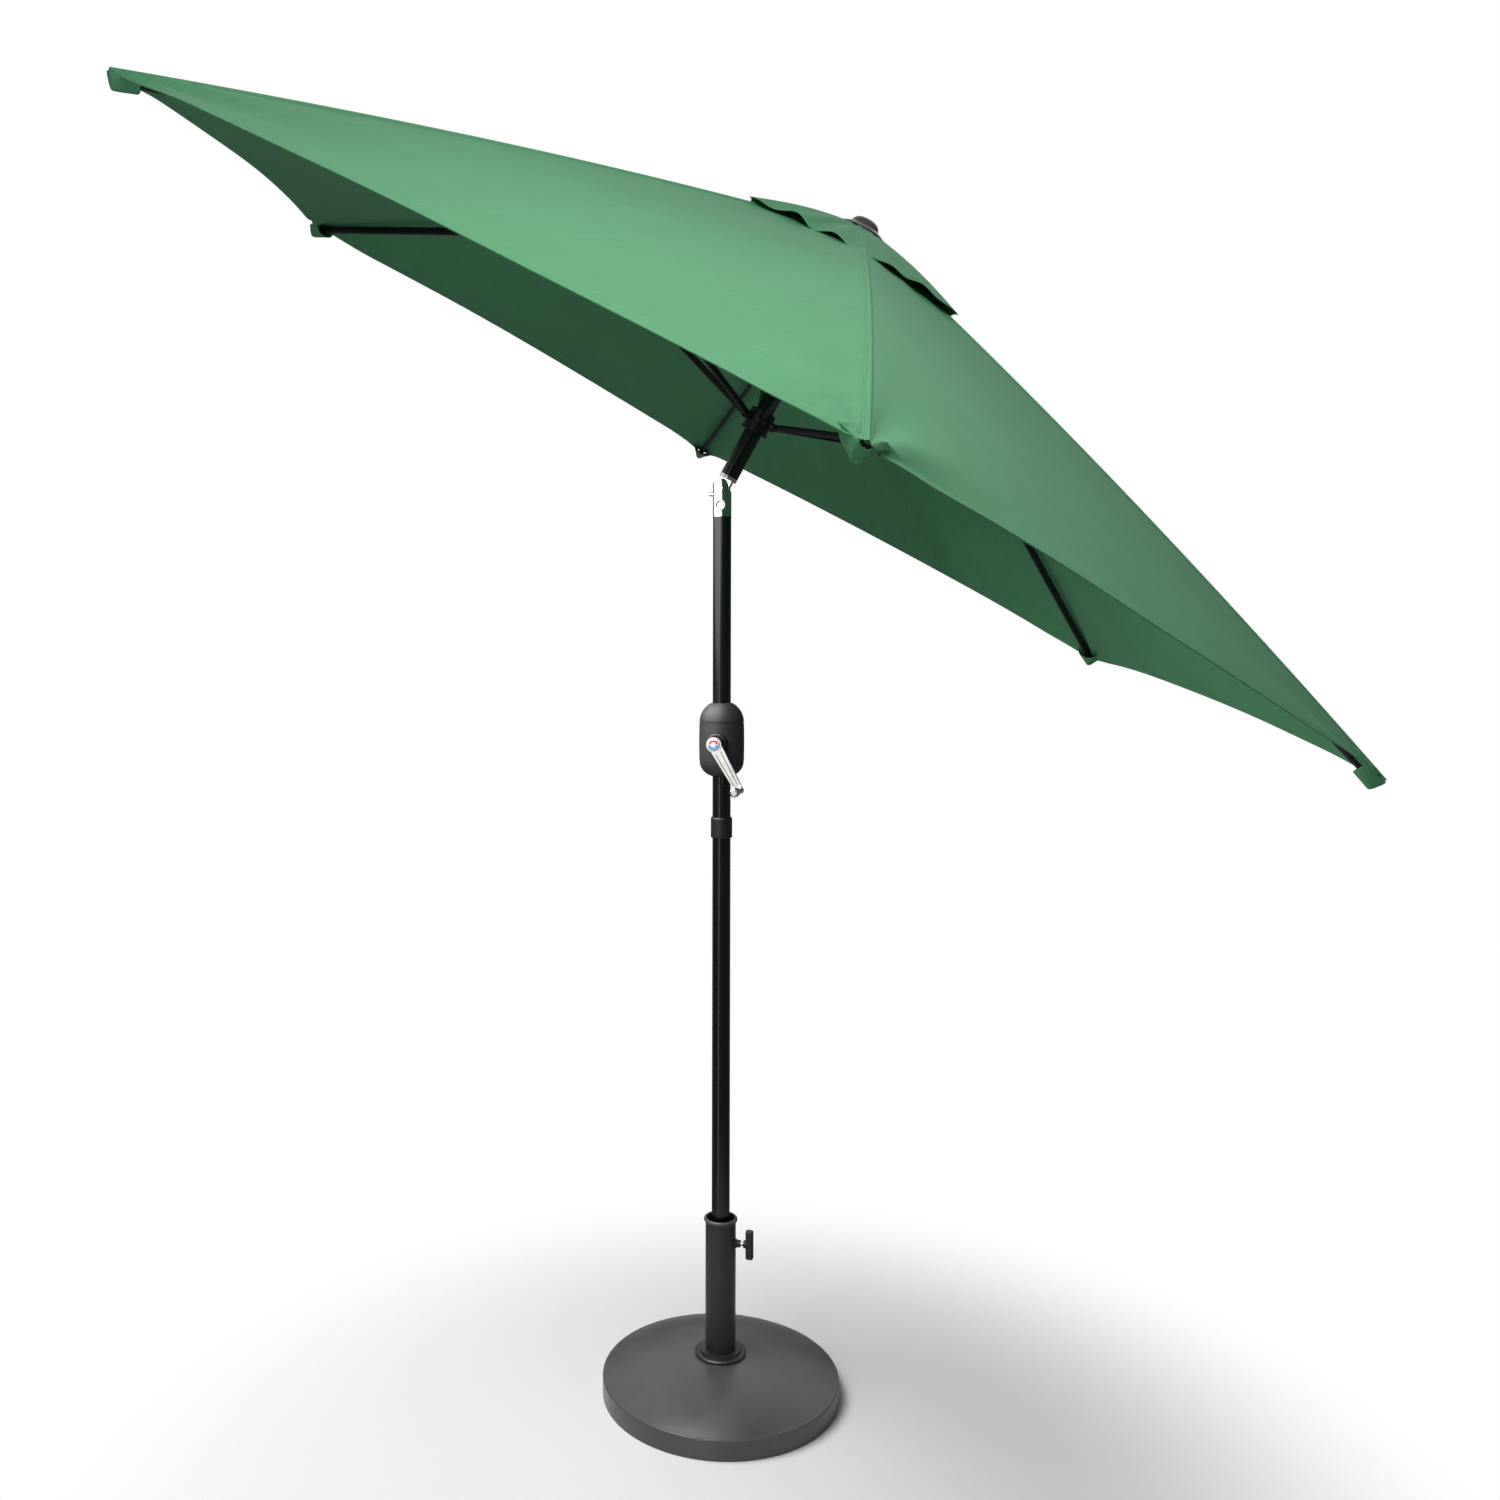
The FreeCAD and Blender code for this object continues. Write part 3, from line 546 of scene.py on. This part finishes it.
for number in range(6):
    body = "rib_%d" % (number + 1)
    before, after = half_panel(number, -1), half_panel(number, 1)
    count, depth = before[0].shape[:2]
    wide = 2 * count - 1
    points = np.concatenate([before[0][::-1], after[0][1:]])
    blunt = np.concatenate([before[1][::-1], after[1][1:]])
    blunt[count - 1] = before[1][0] + after[1][0]
    blunt[count - 1] /= np.linalg.norm(blunt[count - 1], axis=-1, keepdims=True)
    gap = np.concatenate([before[4][::-1], after[4][1:]])
    thick = half_thickness + hem_fold * soft_step(hem_width - gap, 0, 0.0012)
    top, under = points + blunt * thick[..., None], points - blunt * thick[..., None]
    vertices = np.concatenate([top.reshape(-1, 3), under.reshape(-1, 3)])
    faces, sewing = [], Sewing()
    layer = wide * depth

    # The gore: its top face, its under face and the edges between them.
    def corner(half, column, row, lower, normal=(0, 0, 0)):
        """Adds one corner of a face in half of the gore, and returns its vertex."""
        at = abs(column - count + 1)
        sewing.add(half[2][at, row], 0.02 if lower else half[3][at, row], half[4][at, row])
        sewing.normals.append(normal)
        return column * depth + row + (layer if lower else 0)

    def edge(half, ends, flip):
        """Closes the cloth's edge between two neighbouring places."""
        (a, b), (c, d) = ends
        rim = [(a, b, False), (c, d, False), (c, d, True), (a, b, True)]
        faces.append([corner(half, *p) for p in (rim if flip else rim[::-1])])

    for column in range(wide - 1):
        half = before if column < count - 1 else after
        for row in range(depth - 1):
            ring = facing(square(column, row), top, blunt[column, row])
            out = [half[1][abs(p[0] - count + 1), p[1]] for p in ring]
            faces.append([corner(half, *p, False, n) for p, n in zip(ring, out)])
            faces.append([corner(half, *p, True, -n) for p, n in zip(ring[::-1], out[::-1])])
        for row, flip in ((0, True), (depth - 1, False)):
            edge(half, [(column, row), (column + 1, row)], flip)
    for half, column, flip in ((before, 0, False), (after, wide - 1, True)):
        for row in range(depth - 1):
            edge(half, [(column, row), (column, row + 1)], flip)
    gore = sew("canopy_cloth_%d" % (number + 1), vertices, faces, sewing, body)
    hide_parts("canopy_gore_%d" % (number + 1))

    # Its seam, laid along the ridge over the rib.
    ridge = points[count - 1]
    steps = np.linspace(0, 1, seam_steps)
    places = np.linspace(0, 1, depth)
    fine = np.stack([np.interp(steps, places, ridge[:, i]) for i in range(3)], -1)
    line = ridge[-1] - ridge[0]
    line /= np.linalg.norm(line)
    sides = []
    for half in (before, after):
        sideways = half[0][3, depth // 2] - half[0][0, depth // 2]
        sideways -= line * (sideways @ line)
        normal = half[1][0, depth // 2]
        sideways -= normal * (sideways @ normal)
        sides.append((sideways / np.linalg.norm(sideways), normal))
    strip = []
    run = np.linalg.norm(fine - fine[0], axis=-1)
    for offset, height in zip(seam_offsets, seam_heights):
        way, normal = sides[0] if offset < 0 else sides[1]
        if offset == 0:
            normal = blunt[count - 1, depth // 2]
        waves = np.sin(run * 2 * math.pi / pucker_pitch + offset * 900)
        above = half_thickness + height + pucker_depth * waves * (offset != 0)
        strip.append(fine + way * abs(offset) + normal * above[:, None])
    strip = np.array(strip)
    faces, sewing = [], Sewing()
    for column in range(len(seam_offsets) - 1):
        for row in range(seam_steps - 1):
            ring = facing(square(column, row), strip, blunt[count - 1, 0])
            faces.append([p[0] * seam_steps + p[1] for p in ring])
            for p in ring:
                offset = seam_offsets[p[0]]
                sewing.add((offset, run[p[1]]), abs(offset), 0.1)
    seam = sew("canopy_seam_%d" % (number + 1), strip.reshape(-1, 3), faces, sewing, body)

    # Its pocket, hung from the hem's corner.
    tip = ridge[-1]
    up = blunt[count - 1, -1]
    sideways = np.cross(line, up)
    sling = []
    for share in np.linspace(-1, 1, pocket_columns):
        for back in pocket_backs:
            closed = soft_step(back, -0.002, 0.0062)
            drop = pocket_drop * (1 - abs(share) ** 3) * closed * (1 - 2.2 * back)
            width = 0.0085 + 0.62 * back
            ripple = 0.0009 * math.sin(share * 11 + back * 90 + number)
            sling.append(tip + line * (pocket_front - back) + sideways * width * share
                         - up * (drop + 0.0012 + ripple)
                         - up * rib_fall * 0.16 * abs(width * share))
    faces, sewing = [], Sewing()
    for column in range(pocket_columns - 1):
        for row in range(len(pocket_backs) - 1):
            ring = square(column, row)
            faces.append([p[0] * len(pocket_backs) + p[1] for p in ring])
            for p in ring:
                sewing.add((p[0] * 0.0052, p[1] * 0.006), 0.05, 0.002 + 0.006 * p[1])
    pocket = sew("rib_pocket_%d" % (number + 1), sling, faces, sewing, body)
    thicken(pocket)
    rounded = pocket.modifiers.new("soft", "SUBSURF")
    rounded.levels = rounded.render_levels = 1

    # Each gore gets its own copy of its mesh. across_rib, the way across the rib, is worked out but
    # nothing uses it.
    across_rib = sideways / np.linalg.norm(sideways)
    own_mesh(gore)

# ---- Crown patch ----
# A round reinforcing patch of the same cloth lies over the crown hub. It is sewn down to the
# six panels' top edges, and the finial's stem goes down through its middle.


def facet_height(radius, bearing):
    """Height of the taut cloth at a place round the mast, upright."""
    turned = (bearing - rib_bearings[0]) % (math.pi / 3) - math.pi / 6
    return cloth_apex - rib_fall * radius * math.cos(turned) / math.cos(math.pi / 6)


def round_sheet(name, radii, count, height_at):
    """A round sheet about the mast's axis. height_at gives the radius and height of its
    points, from their step, 0 at the middle to 1 at the edge, and their bearing."""
    bearings = np.linspace(0, 2 * math.pi, count, endpoint=False)
    points, charts = [], []
    for bearing in bearings:
        for step in radii:
            radius, height = height_at(step, bearing)
            points.append((radius * math.cos(bearing), radius * math.sin(bearing), height))
            charts.append((radius * math.cos(bearing), radius * math.sin(bearing)))
    faces, sewing = [], Sewing()
    for i in range(count):
        for j in range(len(radii) - 1):
            k = (i + 1) % count
            ring = [(i, j), (i, j + 1), (k, j + 1), (k, j)]
            faces.append([p[0] * len(radii) + p[1] for p in ring])
            for p in ring:
                chart = charts[p[0] * len(radii) + p[1]]
                turned = (bearings[p[0]] - rib_bearings[0] + math.pi / 6) % (math.pi / 3)
                from_seam = abs(turned - math.pi / 6) * math.hypot(*chart)
                sewing.add(chart, from_seam, (1 - radii[p[1]]) * 0.245)
    made = sew(name, leaning(np.array(points)), faces, sewing, "canopy_mast")
    thicken(made)
    return made


def patch_height(step, bearing):
    on_hub, flat_to = 0.5772, 0.030
    radius = 0.009 + 0.071 * step
    outer = facet_height(max(radius, flat_to + 0.036), bearing) + 0.0016
    if radius < flat_to:
        return radius, on_hub
    return radius, on_hub + (outer - on_hub) * min(1, (radius - flat_to) / 0.036)


patch = round_sheet("crown_patch_cloth", np.linspace(0, 1, 18), 72, patch_height)
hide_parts("crown_patch")

# ---- Vent tier ----
# A small loose canopy under the finial that covers the crown. It is tacked down at the six
# seams; between them its hem stands up in soft ruffles, so that wind can pass under it.
vent_corner = 0.268
vent_middle = 0.016          # radius of the hole that the finial closes
vent_scallop = 0.012
ruffle_height = 0.0165
corner_lifts = (0.020, 0.004, 0.003, 0.004, 0.017, 0.0015)


def vent_height(step, bearing):
    turned = (bearing - rib_bearings[0]) % (math.pi / 3)
    side = int(((bearing - rib_bearings[0]) % (2 * math.pi)) // (math.pi / 3))
    share = turned / (math.pi / 3)
    middle = 4 * share * (1 - share)
    edge = vent_corner * math.cos(math.pi / 6) / math.cos(turned - math.pi / 6)
    edge -= vent_scallop * middle
    radius = vent_middle + (edge - vent_middle) * step
    swing = 0.2 if side == 5 else 0.45
    ruffle = 1 - swing + swing * math.sin(2 * math.pi * (2.5 * share + 0.31 * side) + 0.8)
    start, end = corner_lifts[side], corner_lifts[(side + 1) % 6]
    gap = (0.0025 + ruffle_height * middle ** 0.6 * ruffle
           + start * (1 - share) ** 2 + end * share ** 2)
    hem = facet_height(edge, bearing) + gap
    inner = 0.5905 - 0.30 * vent_middle
    height = inner + (hem - inner) * step + 0.0075 * math.sin(math.pi * step) * (1 - 0.3 * middle)
    height += 0.0022 * middle * step ** 2 * math.sin(turned * 41 + side * 2.1) * (1 - step ** 6)
    floor = facet_height(radius, bearing) + 0.0028
    return radius, max(height, floor)


vent = round_sheet("vent_cloth", np.linspace(0, 1, 34), 288, vent_height)
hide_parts("vent_flap")

# ---- Finial ----
# A turned dome of dark brown plastic with a smooth, slightly scratched face. Its stem screws
# down through the vent tier into the crown hub and clamps the cloth.
finial_plastic = Finish("finial_plastic", colour(38, 26, 24), 0.3, Specular_IOR_Level=0.5)
scratches = finial_plastic.speckle(finial_plastic.place, 70, 5, 0.65)
finial_plastic.set("Base Color", finial_plastic.blend(
    scratches, colour(26, 18, 17), colour(54, 38, 35)))
finial_plastic.set("Roughness", scratches * 0.2 + 0.2)
finial_plastic.raise_by(finial_plastic.speckle(finial_plastic.place, 500, 2), 0.00004, 0.4)
finial_plastic.clad("finial")

# ---- Studio ----
# A pale floor that fades into a white surround. A soft lamp stands in front of the canopy and
# above it, another over the base, and two tall strips in front shine on the pole and the chrome.
floor_mesh = bpy.data.meshes.new("floor")
floor_radii = (0.02, 0.8, 2.0, 3.5, 6.0)
floor_sides = 64
floor_places = [(math.cos(turn) * radius, math.sin(turn) * radius, -0.0005)
                for radius in floor_radii
                for turn in np.linspace(0, 2 * math.pi, floor_sides, endpoint=False)]
floor_faces = [list(range(floor_sides - 1, -1, -1))]
for inner in range(0, floor_sides * (len(floor_radii) - 1), floor_sides):
    outer = inner + floor_sides
    for side in range(floor_sides):
        after = (side + 1) % floor_sides
        floor_faces.append([inner + side, inner + after, outer + after, outer + side])
floor_mesh.from_pydata(floor_places, [], floor_faces)
floor = bpy.data.objects.new("floor", floor_mesh)
bpy.context.scene.collection.objects.link(floor)
floor_paint = Finish("floor_paint", (0.87, 0.845, 0.84), 0.7)
floor_x = floor_paint.axis(floor_paint.place, "X")
floor_y = floor_paint.axis(floor_paint.place, "Y")
from_base = ((floor_x - 0.15) ** 2 + (floor_y + 0.3) ** 2) ** 0.5
floor_paint.set("Alpha", 1 - from_base.rise(0.45, 1.35))
floor_mesh.materials.append(floor_paint.material)

world = bpy.data.worlds.new("studio")
bpy.context.scene.world = world
world.use_nodes = True
surround = Bench(world.node_tree)
sky = world.node_tree.nodes["Background"]
gaze = surround.node("ShaderNodeTexCoord", output=0)
level = surround.axis(gaze, "Z") * 0.5 + 0.5
room = surround.node("ShaderNodeValToRGB", {"stops": [
    (0.0, (0.135, 0.135, 0.14)), (0.45, (0.15, 0.15, 0.155)),
    (1.0, (0.055, 0.055, 0.055))]}, {0: level})
shine = surround.node("ShaderNodeValToRGB", {"stops": [
    (0.0, (0.10, 0.10, 0.10)), (0.50, (0.12, 0.12, 0.12)), (0.62, (0.16, 0.16, 0.16)),
    (0.74, (0.95, 0.95, 0.95)), (1.0, (0.95, 0.95, 0.95))]}, {0: level})
mirrored = surround.node("ShaderNodeLightPath", output=3)
seen = surround.node("ShaderNodeLightPath", output=0)
backdrop = surround.blend(mirrored, room, shine)
surround.feed(sky.inputs["Color"], surround.blend(seen, backdrop, (1.0, 1.0, 1.0)))
sky.inputs["Strength"].default_value = 1.0


def lamp(name, place, aim, size, watts, spread=180):
    light = bpy.data.lights.new(name, "AREA")
    if isinstance(size, tuple):
        light.shape = "RECTANGLE"
        light.size, light.size_y = size
    else:
        light.shape = "DISK"
        light.size = size
    light.energy = watts
    light.spread = math.radians(spread)
    made = bpy.data.objects.new(name, light)
    made.location = place
    made.rotation_euler = (Vector(aim) - Vector(place)).to_track_quat("-Z", "Y").to_euler()
    made.visible_camera = False
    bpy.context.scene.collection.objects.link(made)


lamp("key_lamp", (0.5, -1.6, 2.95), (0.35, -0.85, 1.95), 0.9, 16.5)
lamp("base_lamp", (-0.5, -0.4, 1.75), (-0.05, 0, 0), 1.2, 20, 150)
lamp("strip_lamp", (-0.95, -2.45, 0.8), (0, 0, 0.8), (0.2, 3.4), 9)
lamp("card_lamp", (-0.57, -2.6, 1.4), (0, 0, 1.4), (0.30, 1.9), 2.2)

lens = bpy.data.cameras.new("camera")
lens.lens = 31.19
lens.sensor_width = 36
lens.shift_x = 0.0743
lens.shift_y = -0.0264
camera = bpy.data.objects.new("camera", lens)
camera.location = (0.5612, -2.6643, 1.5368)
camera.rotation_euler = (math.radians(88.12), 0, math.radians(15.56))
bpy.context.scene.collection.objects.link(camera)
bpy.context.scene.camera = camera
bpy.context.scene.view_settings.view_transform = "Standard"
